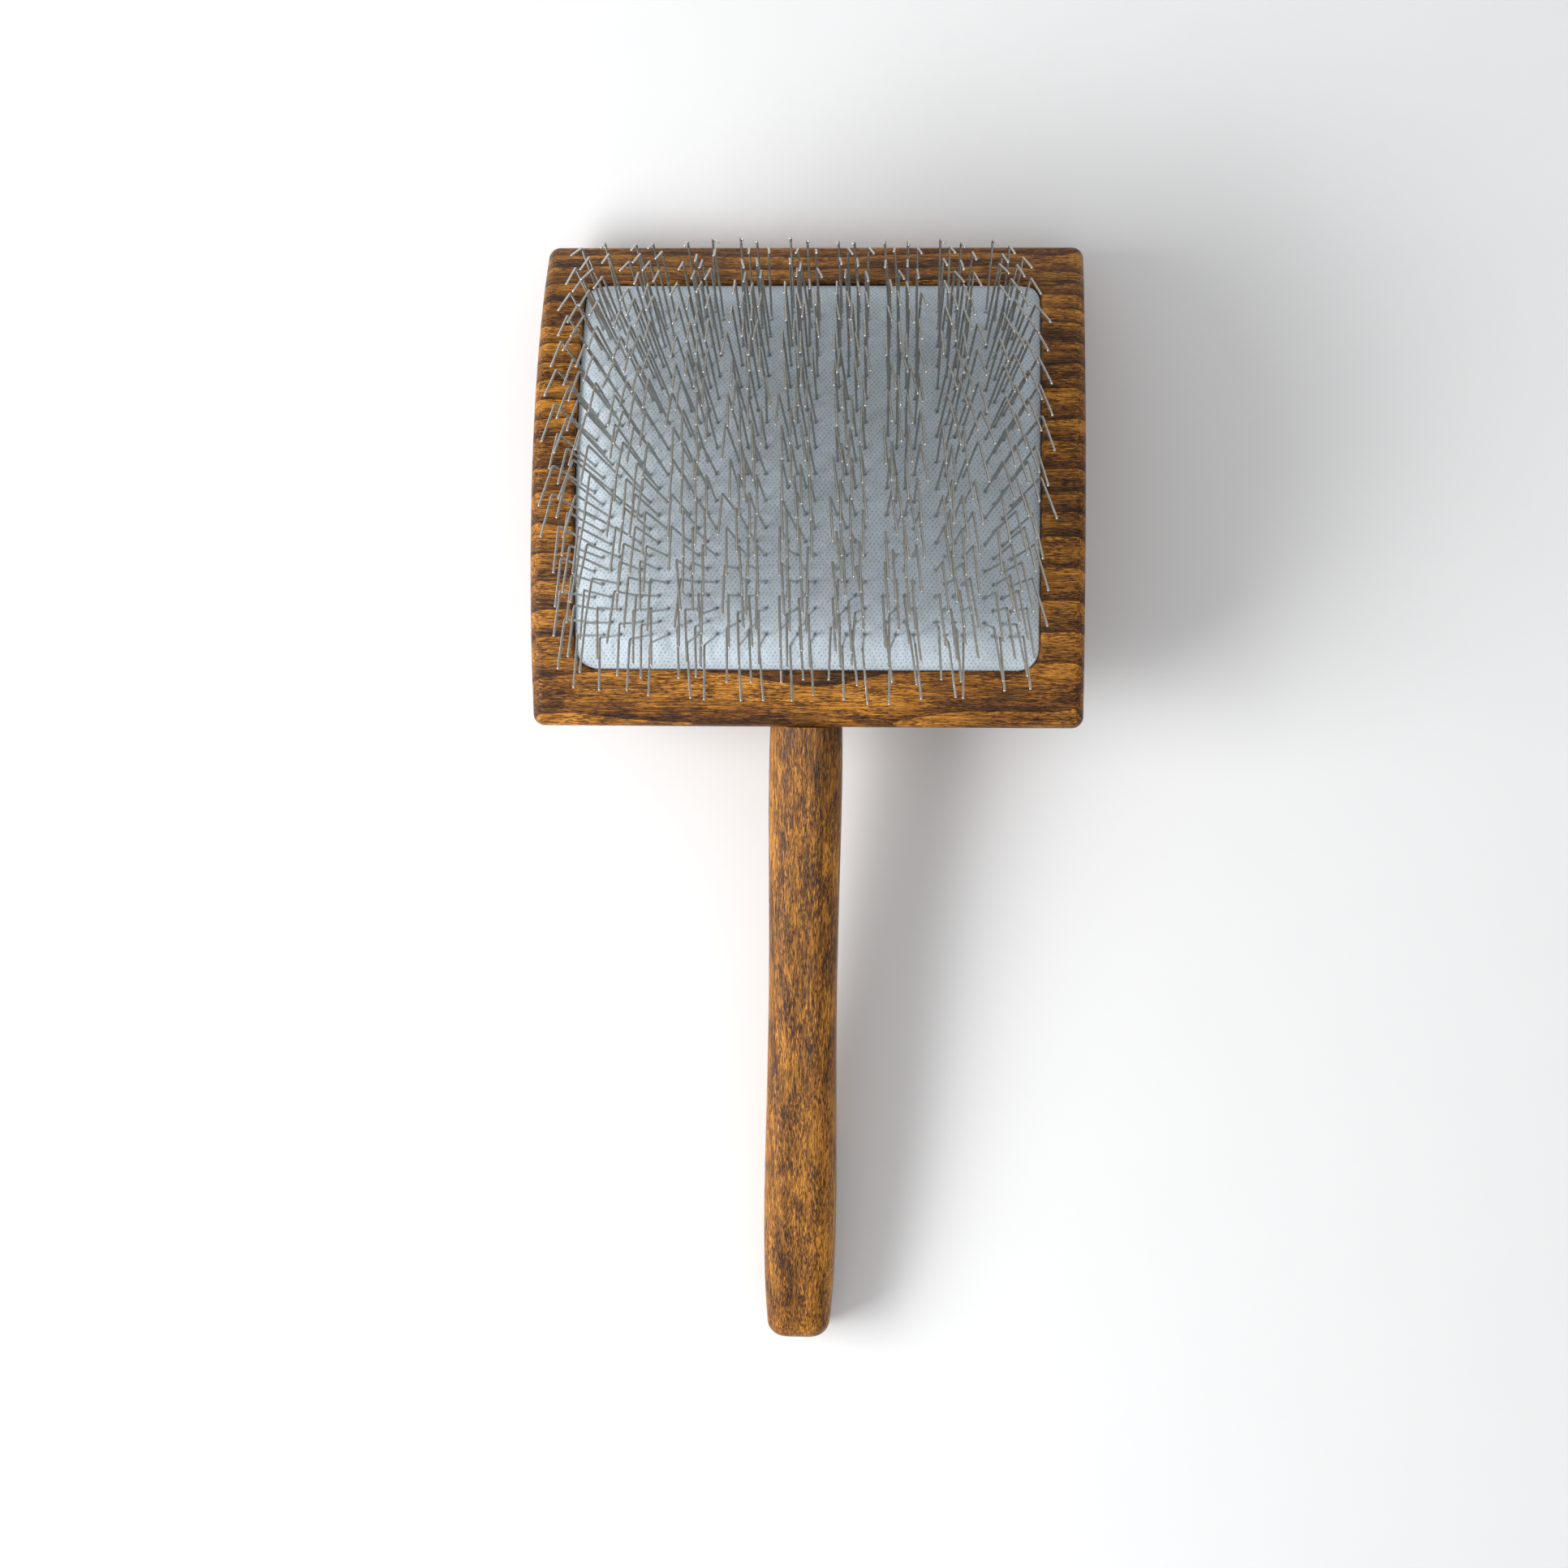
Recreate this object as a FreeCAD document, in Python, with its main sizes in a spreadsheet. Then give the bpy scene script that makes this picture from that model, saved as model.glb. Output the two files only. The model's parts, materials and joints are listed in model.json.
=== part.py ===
import FreeCAD, Part
import math
import os
import random

import Sketcher
from FreeCAD import Placement, Rotation, Vector

# Wooden slicker brush lying on its back, pins up.
# +X is across the head, +Y runs from the handle towards the head's top edge, and +Z is up.
# The head, its card and its pins are drawn in the head's own frame: the arch's crest line
# is the X axis there and Z is the middle of the pins' direction. The handle is drawn
# along its own +Z, from its shoulder to its butt.

SIZES = [
    ("head_width", 116, "head block, side to side"),
    ("arch_radius", 90, "front of the head block"),
    ("head_half_angle", 36.5, "head's arch, crest to shoulder and to the back's top edge, in degrees"),
    ("head_top_angle", 37.6, "head's arch, crest to the front's top edge, in degrees"),
    ("head_thickness", 16, "front arch to back arch"),
    ("head_edge_radius", 2.5, "rounding of every outer edge of the head"),
    ("head_tilt", 11, "how far the head's top end droops on the table, in degrees"),
    ("crest_height", 37.529, "crest line of the arch above the table"),
    ("origin_shift", 68.6, "from the middle of the footprint to the crest line"),
    ("pocket_width", 97.5, "pocket for the card, side to side"),
    ("pocket_length", 85.3, "pocket for the card, along the brush"),
    ("pocket_corner", 4.5, "corner radius of the pocket"),
    ("pocket_depth", 8, "front arch to the pocket's floor"),
    ("pocket_lip_radius", 0.7, "rounding of the pocket's mouth"),
    ("card_gap", 0.6, "card's edge to the pocket's wall"),
    ("card_recess", 1.2, "card's rim below the front arch"),
    ("card_crown", 5.1, "how far the cushion lifts the middle of the card"),
    ("facing_thickness", 0.6, "cloth on the front of the card"),
    ("core_thickness", 1.6, "rubber layer of the card"),
    ("backing_thickness", 0.6, "cloth on the back of the card"),
    ("cushion_clearance", 0.9, "card's back to the foam, where the staple crowns lie"),
    ("wire_diameter", 0.5, "pin wire"),
    ("staple_width", 3.74, "between the two legs of a staple"),
    ("staple_pitch", 10.25, "from one staple to the next in a row"),
    ("row_stagger", 1.87, "sideways step of every second row"),
    ("row_pitch", 2.822, "from one row to the next, along the card"),
    ("lattice_shift_side", -0.95, "middle of the pin field off the card's middle, along X"),
    ("lattice_shift_up", -0.3, "middle of the pin field off the card's middle, along Y"),
    ("leg_length", 16.2, "card to knee"),
    ("leg_lean", 10.7, "leg off the card's normal, towards the head's top, in degrees"),
    ("leg_skew", -2.2, "all the legs' sideways lean, in degrees"),
    ("leg_splay", 7.6, "extra outward lean of the outermost legs, in degrees"),
    ("tip_length", 11.5, "knee to tip"),
    ("tip_lean", 56.3, "tip off the card's normal, towards the handle, in degrees"),
    ("tip_skew", 3.3, "all the tips' sideways lean, in degrees"),
    ("tip_splay", 2.4, "extra outward lean of the outermost tips, in degrees"),
    ("knee_radius", 1.1, "bend at the knee, on the wire's centre line"),
    ("tip_rounding", 0.15, "rounding of the wire's two cut ends"),
    ("crown_radius", 0.7, "bends at a staple's crown, on the wire's centre line"),
    ("handle_drop", 6.891, "slope of the handle down to the table, in degrees"),
    ("handle_length", 131.75, "shoulder to butt"),
    ("handle_skew", 0.6, "how far the handle is set off square, towards -X, in degrees"),
    ("handle_offset", -0.5, "handle's axis off the middle of the shoulder, along X"),
    ("neck_width", 15.3, "handle at its shoulder"),
    ("neck_thickness", 14.5, "handle at its shoulder"),
    ("neck_corner", 6.6, "corner radius of the handle at its shoulder"),
    ("shank_width", 14.95, "handle a quarter of the way down"),
    ("shank_thickness", 15.8, "handle a quarter of the way down"),
    ("shank_corner", 5.6, "corner radius a quarter of the way down"),
    ("waist_width", 14.5, "handle at its narrowest"),
    ("waist_thickness", 16.4, "handle at its narrowest"),
    ("grip_width", 15.1, "handle at its widest, near the butt"),
    ("grip_thickness", 16.2, "handle at its widest, near the butt"),
    ("grip_corner", 4.6, "corner radius along the grip"),
    ("butt_width", 13.4, "handle at its end"),
    ("butt_thickness", 14.2, "handle at its end"),
    ("butt_rounding", 3.6, "rounding of the handle's end"),
    ("tenon_diameter", 9, "round tenon on the handle"),
    ("tenon_length", 10, "round tenon on the handle"),
    ("mortise_depth", 10.5, "hole for the tenon"),
    ("glue_gap", 0.05, "tenon to mortise, on the radius"),
    ("joint_depth", 8, "front of the head to the handle's axis, at the shoulder"),
]

STAPLES_PER_ROW = 9
ROWS = 28
SHANK_AT, WAIST_AT, GRIP_AT = 0.25, 0.56, 0.83
BUTT_ANGLES = (0, 10, 25, 45, 68, 90)

# Points of the grid that the domed surfaces pass through, and how far past the card it goes.
GRID_X = 17
GRID_Y = 15
GRID_MARGIN = 1

# Cutting tools reach this far past what they cut: millimetres, and shares of a size.
CUTTER_HALF = 30
CUTTER_WIDER = 1.2
CUTTER_LARGER = 1.1

# The pins are set by machine and then used, so each leans a little its own way.
LEAN_SCATTER = 1.3
SPLAY_SCATTER = 1.5
LENGTH_SCATTER = 0.25
SCATTER_SEED = 7
CROWN_STEPS = 12
CURVE_STEPS = 400
NUDGE = 0.01

# What a new sketch is drawn as before its constraints set its sizes.
START_HALF_X, START_HALF_Y, START_BEND = 20, 16, 4
RIGHT_ANGLE = math.pi / 2

doc = FreeCAD.newDocument("slicker_brush")
sheet = doc.addObject("Spreadsheet::Sheet", "Sizes")
for line, (alias, value, note) in enumerate(SIZES, 1):
    sheet.set(f"A{line}", note)
    sheet.set(f"B{line}", str(value))
    sheet.setAlias(f"B{line}", alias)
doc.recompute()


def size(alias):
    return float(sheet.get(alias))


def new_body(name):
    return doc.addObject("PartDesign::Body", name)


def new_sketch(body, name, plane, height=None):
    """A sketch on one of the body's own origin planes, raised by an expression if given."""
    sketch = body.newObject("Sketcher::SketchObject", name)
    origin_plane = next(f for f in body.Origin.OriginFeatures if f.Role == plane)
    sketch.AttachmentSupport = [(origin_plane, "")]
    sketch.MapMode = "FlatFace"
    if height:
        sketch.setExpression("AttachmentOffset.Base.z", height)
    return sketch


def constrain(sketch, *arguments, to=None):
    """Adds a constraint, and ties its value to an expression if one is given."""
    number = sketch.addConstraint(Sketcher.Constraint(*arguments))
    if to:
        sketch.setExpression(f"Constraints[{number}]", to)


def arc(centre, radius, start, end):
    circle = Part.Circle(centre, Vector(0, 0, 1), radius)
    return Part.ArcOfCircle(circle, start, end)


def rounded_rectangle(sketch, width, length, corner):
    """Centred on the sketch's origin. Each argument is an expression."""
    inner_x, inner_y = START_HALF_X - START_BEND, START_HALF_Y - START_BEND
    corners = [
        (inner_x, -inner_y, 3),
        (inner_x, inner_y, 0),
        (-inner_x, inner_y, 1),
        (-inner_x, -inner_y, 2),
    ]
    sides = [
        ((-inner_x, -START_HALF_Y), (inner_x, -START_HALF_Y)),
        ((START_HALF_X, -inner_y), (START_HALF_X, inner_y)),
        ((inner_x, START_HALF_Y), (-inner_x, START_HALF_Y)),
        ((-START_HALF_X, inner_y), (-START_HALF_X, -inner_y)),
    ]
    for (start, end), (x, y, turns) in zip(sides, corners):
        sketch.addGeometry(Part.LineSegment(Vector(*start, 0), Vector(*end, 0)))
        from_angle = turns * RIGHT_ANGLE
        sketch.addGeometry(arc(Vector(x, y, 0), START_BEND, from_angle, from_angle + RIGHT_ANGLE))
    for edge in range(8):
        constrain(sketch, "Tangent", edge, 2, (edge + 1) % 8, 1)
    for bottom_or_top in (0, 4):
        constrain(sketch, "Horizontal", bottom_or_top)
    for side in (2, 6):
        constrain(sketch, "Vertical", side)
    for other_corner in (3, 5, 7):
        constrain(sketch, "Equal", 1, other_corner)
    constrain(sketch, "Symmetric", 0, 1, 4, 1, -1, 1)
    constrain(sketch, "Radius", 1, START_BEND, to=corner)
    constrain(sketch, "DistanceX", 6, 1, 2, 1, 2 * START_HALF_X, to=width)
    constrain(sketch, "DistanceY", 0, 1, 4, 1, 2 * START_HALF_Y, to=length)


def prism(name, width, length, corner):
    """A rounded block through the head, along the pins."""
    body = new_body(name)
    outline = new_sketch(body, f"{name}_outline", "XY_Plane")
    rounded_rectangle(outline, width, length, corner)
    pad = body.newObject("PartDesign::Pad", f"{name}_pad")
    pad.Profile = outline
    pad.Midplane = True
    pad.Length = 2 * CUTTER_HALF
    return body


def arch_cylinder(name, radius):
    """A cylinder about the arch's own axis, which runs along X below the crest."""
    cylinder = doc.addObject("Part::Cylinder", name)
    cylinder.setExpression("Radius", radius)
    cylinder.setExpression("Height", f"Sizes.head_width * {CUTTER_WIDER}")
    cylinder.Placement = Placement(Vector(), Rotation(Vector(0, 1, 0), 90))
    cylinder.setExpression("Placement.Base.x", f"-Sizes.head_width * {CUTTER_WIDER} / 2")
    cylinder.setExpression("Placement.Base.z", "-Sizes.arch_radius")
    return cylinder


def boolean(kind, name, base, tool):
    result = doc.addObject(kind, name)
    result.Base = base
    result.Tool = tool
    return result


# ---- head block: an arched moulding with its edges rounded, routed out for the card ----

def head_profile(sketch):
    """Two arcs about one centre, closed by the top end and by the shoulder for the handle."""
    radius = size("arch_radius")
    back = radius - size("head_thickness")
    half = math.radians(size("head_half_angle"))
    top = math.radians(size("head_top_angle"))
    slope = math.radians(size("head_tilt") + size("handle_drop"))
    centre = Vector(0, -radius, 0)

    def on_arch(reach, angle):
        return centre + Vector(reach * math.sin(angle), reach * math.cos(angle), 0)

    front_low = on_arch(radius, -half)
    along = Vector(math.sin(slope), -math.cos(slope), 0)
    offset = front_low - centre
    middle = offset.dot(along)
    reach = -middle - math.sqrt(middle**2 - offset.dot(offset) + back**2)
    back_low = front_low + along * reach
    low_angle = math.atan2((back_low - centre).y, (back_low - centre).x)
    sketch.addGeometry(arc(centre, radius, RIGHT_ANGLE - top, RIGHT_ANGLE + half))
    sketch.addGeometry(arc(centre, back, RIGHT_ANGLE - half, low_angle))
    sketch.addGeometry(Part.LineSegment(on_arch(back, half), on_arch(radius, top)))
    sketch.addGeometry(Part.LineSegment(back_low, front_low))
    front_arc, back_arc, top_end, shoulder = range(4)
    constrain(sketch, "Coincident", front_arc, 3, back_arc, 3)
    constrain(sketch, "Coincident", back_arc, 1, top_end, 1)
    constrain(sketch, "Coincident", front_arc, 1, top_end, 2)
    constrain(sketch, "Coincident", back_arc, 2, shoulder, 1)
    constrain(sketch, "Coincident", front_arc, 2, shoulder, 2)
    constrain(sketch, "PointOnObject", front_arc, 3, -2)
    constrain(sketch, "PointOnObject", -1, 1, front_arc)
    constrain(sketch, "DistanceX", -1, 1, back_arc, 1, back * math.sin(half),
              to="(Sizes.arch_radius - Sizes.head_thickness) * sin(Sizes.head_half_angle)")
    constrain(sketch, "Radius", front_arc, radius, to="Sizes.arch_radius")
    constrain(sketch, "Radius", back_arc, back, to="Sizes.arch_radius - Sizes.head_thickness")
    constrain(sketch, "DistanceX", -1, 1, front_arc, 1, radius * math.sin(top),
              to="Sizes.arch_radius * sin(Sizes.head_top_angle)")
    constrain(sketch, "DistanceX", front_arc, 2, -1, 1, radius * math.sin(half),
              to="Sizes.arch_radius * sin(Sizes.head_half_angle)")
    constrain(sketch, "Angle", shoulder, RIGHT_ANGLE + slope,
              to="(90 + Sizes.head_tilt + Sizes.handle_drop) * 1 deg")


def lip_edges(shape):
    """Numbers of the edges round the pocket's mouth: on the front arch, inside the border."""
    radius = size("arch_radius")
    reach = size("pocket_width") / 2 + NUDGE

    def on_front(point):
        return abs(math.hypot(point.y, point.z + radius) - radius) < NUDGE and abs(point.x) < reach

    return [
        number for number, edge in enumerate(shape.Edges, 1)
        if all(on_front(vertex.Point) for vertex in edge.Vertexes)
    ]


def make_head_block():
    moulding = new_body("moulding")
    profile = new_sketch(moulding, "moulding_profile", "YZ_Plane")
    head_profile(profile)
    pad = moulding.newObject("PartDesign::Pad", "moulding_pad")
    pad.Profile = profile
    pad.Midplane = True
    pad.setExpression("Length", "Sizes.head_width")
    doc.recompute()
    rounding = moulding.newObject("PartDesign::Fillet", "moulding_edges")
    rounding.Base = (pad, [f"Edge{n}" for n in range(1, len(pad.Shape.Edges) + 1)])
    rounding.setExpression("Radius", "Sizes.head_edge_radius")
    opening = prism("pocket_opening", "Sizes.pocket_width", "Sizes.pocket_length", "Sizes.pocket_corner")
    above = arch_cylinder("above_head", f"Sizes.arch_radius * {CUTTER_LARGER}")
    floor = arch_cylinder("pocket_floor", "Sizes.arch_radius - Sizes.pocket_depth")
    depth = boolean("Part::Cut", "pocket_depth_ring", above, floor)
    pocket = boolean("Part::Common", "pocket_cutter", opening, depth)
    routed = boolean("Part::Cut", "routed_head", moulding, pocket)
    doc.recompute()
    softened = doc.addObject("Part::Fillet", "pocket_lip")
    softened.Base = routed
    lip = size("pocket_lip_radius")
    softened.Edges = [(number, lip, lip) for number in lip_edges(routed.Shape)]
    mortise = doc.addObject("Part::Cylinder", "mortise")
    mortise.setExpression("Radius", "Sizes.tenon_diameter / 2 + Sizes.glue_gap")
    mortise.setExpression("Height", "Sizes.mortise_depth")
    mortise.Placement = joint_placement(from_head=True)
    return boolean("Part::Cut", "head_block", softened, mortise)


def joint_point():
    """The handle's axis where it meets the shoulder, in the head's frame (Y, Z)."""
    half = math.radians(size("head_half_angle"))
    slope = math.radians(size("head_tilt") + size("handle_drop"))
    front_y = -size("arch_radius") * math.sin(half)
    front_z = size("arch_radius") * (math.cos(half) - 1)
    return (
        front_y + size("joint_depth") * math.sin(slope),
        front_z - size("joint_depth") * math.cos(slope),
    )


def joint_placement(from_head):
    """Just clear of the shoulder, with Z along the handle: into the head, or out of it."""
    slope = size("head_tilt") + size("handle_drop")
    turn = slope - 90 if from_head else slope + 90
    skew = Rotation(Vector(0, 0, 1), -size("handle_skew"))
    slope = math.radians(slope)
    outward = skew.multVec(Vector(0, -math.cos(slope), -math.sin(slope)))
    clear = size("neck_width") / 2 * math.tan(math.radians(size("handle_skew")))
    start = Vector(size("handle_offset"), *joint_point()) + outward * clear
    return Placement(start, skew * Rotation(Vector(1, 0, 0), turn))


# ---- card: two cloths on a rubber layer, domed by the foam cushion under it ----

def arch_height(y):
    radius = size("arch_radius")
    return math.sqrt(radius**2 - y**2) - radius


def card_height(x, y):
    """Front of the card: the arch, set back, plus the dome that the cushion gives it."""
    half_x = size("pocket_width") / 2 - size("card_gap")
    half_y = size("pocket_length") / 2 - size("card_gap")
    dome = (1 - abs(x / half_x) ** 3) * (1 - (y / half_y) ** 2)
    return arch_height(y) - size("card_recess") + size("card_crown") * dome


def domed_face(name, drop):
    """The card's front surface, lowered by drop, a little larger than the card."""
    reach_x = size("pocket_width") / 2 + GRID_MARGIN
    reach_y = size("pocket_length") / 2 + GRID_MARGIN
    grid = []
    for i in range(GRID_X):
        x = reach_x * (2 * i / (GRID_X - 1) - 1)
        ys = [reach_y * (2 * j / (GRID_Y - 1) - 1) for j in range(GRID_Y)]
        grid.append([Vector(x, y, card_height(x, y) - drop) for y in ys])
    surface = Part.BSplineSurface()
    surface.interpolate(grid)
    face = doc.addObject("Part::Feature", name)
    face.Shape = surface.toShape()
    return face


def domed_slab(name, drop, thickness, outline):
    """What lies within the outline, from the domed surface down by the thickness."""
    slab = doc.addObject("Part::Extrusion", f"{name}_slab")
    slab.Base = domed_face(f"{name}_front", drop)
    slab.DirMode = "Custom"
    slab.Dir = Vector(0, 0, -1)
    slab.Solid = True
    slab.setExpression("LengthFwd", thickness)
    return boolean("Part::Common", f"{name}_blank", slab, outline)


def make_card_and_cushion():
    outline = prism("card_outline", "Sizes.pocket_width - 2 * Sizes.card_gap",
                    "Sizes.pocket_length - 2 * Sizes.card_gap", "Sizes.pocket_corner - Sizes.card_gap")
    plies = []
    drop = 0
    for ply in ("facing", "core", "backing"):
        blank = domed_slab(f"card_{ply}", drop, f"Sizes.{ply}_thickness", outline)
        blank.Label = f"card_{ply}"
        plies.append(blank)
        drop += size(f"{ply}_thickness")
    drop += size("cushion_clearance")
    blank = domed_slab("cushion", drop, "2 * Sizes.pocket_depth", outline)
    under = arch_cylinder("under_cushion", "Sizes.arch_radius - Sizes.pocket_depth")
    return plies, boolean("Part::Cut", "foam_cushion", blank, under)


# ---- pins: bent staples set through the card, leaning with its surface ----

def along_curve(height_at, limit):
    """Pairs of distance walked along a curve and where that is, from -limit to limit."""
    step = 2 * limit / CURVE_STEPS
    walked, places = [0.0], [-limit]
    for _ in range(CURVE_STEPS):
        here, there = places[-1], places[-1] + step
        walked.append(walked[-1] + math.hypot(step, height_at(there) - height_at(here)))
        places.append(there)
    middle = walked[CURVE_STEPS // 2]
    return [(distance - middle, place) for distance, place in zip(walked, places)]


def place_at(pairs, distance):
    for (low, a), (high, b) in zip(pairs, pairs[1:]):
        if low <= distance <= high:
            return a + (b - a) * (distance - low) / (high - low)
    raise ValueError("the pin field is larger than the card")


def card_axes(x, y):
    """The card's normal, and its directions towards the head's top and to the side."""
    slope_x = (card_height(x + NUDGE, y) - card_height(x - NUDGE, y)) / (2 * NUDGE)
    slope_y = (card_height(x, y + NUDGE) - card_height(x, y - NUDGE)) / (2 * NUDGE)
    normal = Vector(-slope_x, -slope_y, 1).normalize()
    uphill = Vector(0, 1, slope_y)
    uphill = (uphill - normal * uphill.dot(normal)).normalize()
    return normal, uphill, uphill.cross(normal)


def leaning(axes, lean, splay):
    """A direction leaning from the normal towards the head's top, splayed to the side."""
    normal, uphill, sideways = axes
    lean, splay = math.radians(lean), math.radians(splay)
    flat = normal * math.cos(lean) + uphill * math.sin(lean)
    return flat * math.cos(splay) + sideways * math.sin(splay)


def rounded_path(points, radii):
    """Straight runs through the points, with an arc of the given radius at each bend."""
    edges = []
    start = points[0]
    for before, corner, after, radius in zip(points, points[1:], points[2:], radii):
        inward = (before - corner).normalize()
        outward = (after - corner).normalize()
        half_turn = (math.pi - inward.getAngle(outward)) / 2
        setback = radius * math.tan(half_turn)
        bisector = (inward + outward).normalize()
        middle = corner + bisector * (radius / math.cos(half_turn) - radius)
        arc_start = corner + inward * setback
        arc_end = corner + outward * setback
        edges.append(Part.LineSegment(start, arc_start).toShape())
        edges.append(Part.Arc(arc_start, middle, arc_end).toShape())
        start = arc_end
    edges.append(Part.LineSegment(start, points[-1]).toShape())
    return Part.Wire(edges)


def wire_along(path):
    """Round wire along a path, with both cut ends rounded."""
    first = path.OrderedEdges[0]
    start = first.valueAt(first.FirstParameter)
    heading = first.tangentAt(first.FirstParameter)
    section = Part.Circle(start, heading, size("wire_diameter") / 2).toShape()
    wire = path.makePipe(Part.Face(Part.Wire(section)))
    cuts = [face for face in wire.Faces if face.Surface.TypeId == "Part::GeomPlane"]
    rims = [edge for face in cuts for edge in face.Edges]
    return wire.makeFillet(size("tip_rounding"), rims)


def depth_along(front, leg):
    """How far down a leg its staple's crown lies, with the wire against the card's back."""
    layers = size("facing_thickness") + size("core_thickness") + size("backing_thickness")
    depth = layers
    for _ in range(CROWN_STEPS):
        root = front - leg * depth
        under = layers + size("wire_diameter") / 2 / card_axes(root.x, root.y)[0].z
        depth += under - (card_height(root.x, root.y) - root.z)
    return depth


def pin(x, y, side, scatter):
    """The tip, the knee and the crown end of one leg of a staple."""
    axes = card_axes(x, y)
    outward = side * abs(side)
    sway = scatter.gauss(0, SPLAY_SCATTER)
    leg = leaning(
        axes,
        size("leg_lean") + scatter.gauss(0, LEAN_SCATTER),
        size("leg_skew") + size("leg_splay") * outward + sway,
    )
    tip = leaning(
        axes,
        -size("tip_lean") + scatter.gauss(0, LEAN_SCATTER),
        size("tip_skew") + size("tip_splay") * outward + sway + scatter.gauss(0, SPLAY_SCATTER),
    )
    front = Vector(x, y, card_height(x, y))
    knee = front + leg * (size("leg_length") + scatter.gauss(0, LENGTH_SCATTER))
    root = front - leg * depth_along(front, leg)
    end = knee + tip * (size("tip_length") + scatter.gauss(0, LENGTH_SCATTER))
    return end, knee, root


def make_wire_rows():
    half_x = size("pocket_width") / 2 - size("card_gap")
    half_y = size("pocket_length") / 2 - size("card_gap")
    across = along_curve(lambda x: card_height(x, 0), half_x)
    along = along_curve(lambda y: card_height(0, y), half_y)
    field_width = (STAPLES_PER_ROW - 1) * size("staple_pitch")
    field_width += size("staple_width") + size("row_stagger")
    first_x = size("lattice_shift_side") - field_width / 2
    first_y = size("lattice_shift_up") - (ROWS - 1) * size("row_pitch") / 2
    scatter = random.Random(SCATTER_SEED)
    knee, crown = size("knee_radius"), size("crown_radius")
    bends = (knee, crown, crown, knee)
    rows = []
    for row in range(ROWS):
        y = place_at(along, first_y + row * size("row_pitch"))
        stagger = size("row_stagger") * ((row + 1) % 2)
        staples = []
        for number in range(STAPLES_PER_ROW):
            left = first_x + stagger + number * size("staple_pitch")
            legs = []
            for distance in (left, left + size("staple_width")):
                side = distance / (field_width / 2)
                legs.append(pin(place_at(across, distance), y, side, scatter))
            (end_a, knee_a, root_a), (end_b, knee_b, root_b) = legs
            path = rounded_path((end_a, knee_a, root_a, root_b, knee_b, end_b), bends)
            staples.append(wire_along(path))
        feature = doc.addObject("Part::Feature", f"wire_row_{row + 1:02d}")
        feature.Shape = Part.makeCompound(staples)
        rows.append(feature)
    return rows


# ---- handle: a separate straight piece, waisted, with a tenon glued into the head ----

def handle_loft(body, name, sections):
    """A smooth skin through rounded rectangles: (name, height, width, thickness, corner)."""
    sketches = []
    for label, height, *sizes in sections:
        sketch = new_sketch(body, f"{name}_{label}", "XY_Plane", height)
        rounded_rectangle(sketch, *sizes)
        sketches.append(sketch)
    loft = body.newObject("PartDesign::AdditiveLoft", f"{name}_loft")
    loft.Profile = sketches[0]
    loft.Sections = sketches[1:]
    return loft


def make_handle():
    body = new_body("handle")
    grip_end = "Sizes.handle_length - Sizes.butt_rounding"
    stations = [
        ("neck", "0", "neck", "neck"),
        ("shank", f"Sizes.handle_length * {SHANK_AT}", "shank", "shank"),
        ("waist", f"Sizes.handle_length * {WAIST_AT}", "waist", "grip"),
        ("swell", f"Sizes.handle_length * {GRIP_AT}", "grip", "grip"),
        ("end", grip_end, "butt", "grip"),
    ]
    handle_loft(body, "grip", [
        (label, height, f"Sizes.{part}_width", f"Sizes.{part}_thickness", f"Sizes.{corner}_corner")
        for label, height, part, corner in stations
    ])
    rounds = []
    for angle in BUTT_ANGLES:
        inset = f"Sizes.butt_rounding * (1 - cos({angle}))"
        rounds.append((
            f"round_{angle}",
            f"{grip_end} + Sizes.butt_rounding * sin({angle})",
            f"Sizes.butt_width - 2 * {inset}",
            f"Sizes.butt_thickness - 2 * {inset}",
            f"Sizes.grip_corner - {inset}",
        ))
    handle_loft(body, "butt", rounds)
    circle = new_sketch(body, "tenon_circle", "XY_Plane")
    diameter = size("tenon_diameter")
    circle.addGeometry(Part.Circle(Vector(), Vector(0, 0, 1), diameter / 2))
    constrain(circle, "Coincident", 0, 3, -1, 1)
    constrain(circle, "Diameter", 0, diameter, to="Sizes.tenon_diameter")
    tenon = body.newObject("PartDesign::Pad", "tenon")
    tenon.Profile = circle
    tenon.Reversed = True
    tenon.setExpression("Length", "Sizes.tenon_length")
    body.Tip = tenon
    return body


def check(part):
    if part.Shape.isNull() or not part.Shape.isValid():
        raise RuntimeError(f"{part.Label} has no valid shape")


head_block = make_head_block()
plies, cushion = make_card_and_cushion()
rows = make_wire_rows()
handle = make_handle()
doc.recompute()

on_table = Placement(
    Vector(0, size("origin_shift"), size("crest_height")),
    Rotation(Vector(1, 0, 0), -size("head_tilt")),
)
handle.Placement = on_table.multiply(joint_placement(from_head=False))
for piece in (head_block, cushion, *plies, *rows):
    piece.Placement = on_table
doc.recompute()

parts = [head_block, handle, cushion, *plies, *rows]
for item in doc.Objects:
    if "Invalid" in item.State or "Error" in item.State:
        raise RuntimeError(f"{item.Name} did not build")
os.makedirs("parts", exist_ok=True)
whole = FreeCAD.BoundBox()
for part in parts:
    check(part)
    whole.add(part.Shape.BoundBox)
    part.Shape.exportStep(f"parts/{part.Label}.step")
print("whole brush:", whole)
print("nodes:", len(parts), "lowest of the head:", head_block.Shape.BoundBox.ZMin)
print("lowest of the handle:", handle.Shape.BoundBox.ZMin)
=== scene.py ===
import json
import math

import bmesh
import bpy
import numpy as np
from mathutils import Matrix, Vector
from mathutils.bvhtree import BVHTree
from mathutils.kdtree import KDTree


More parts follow.
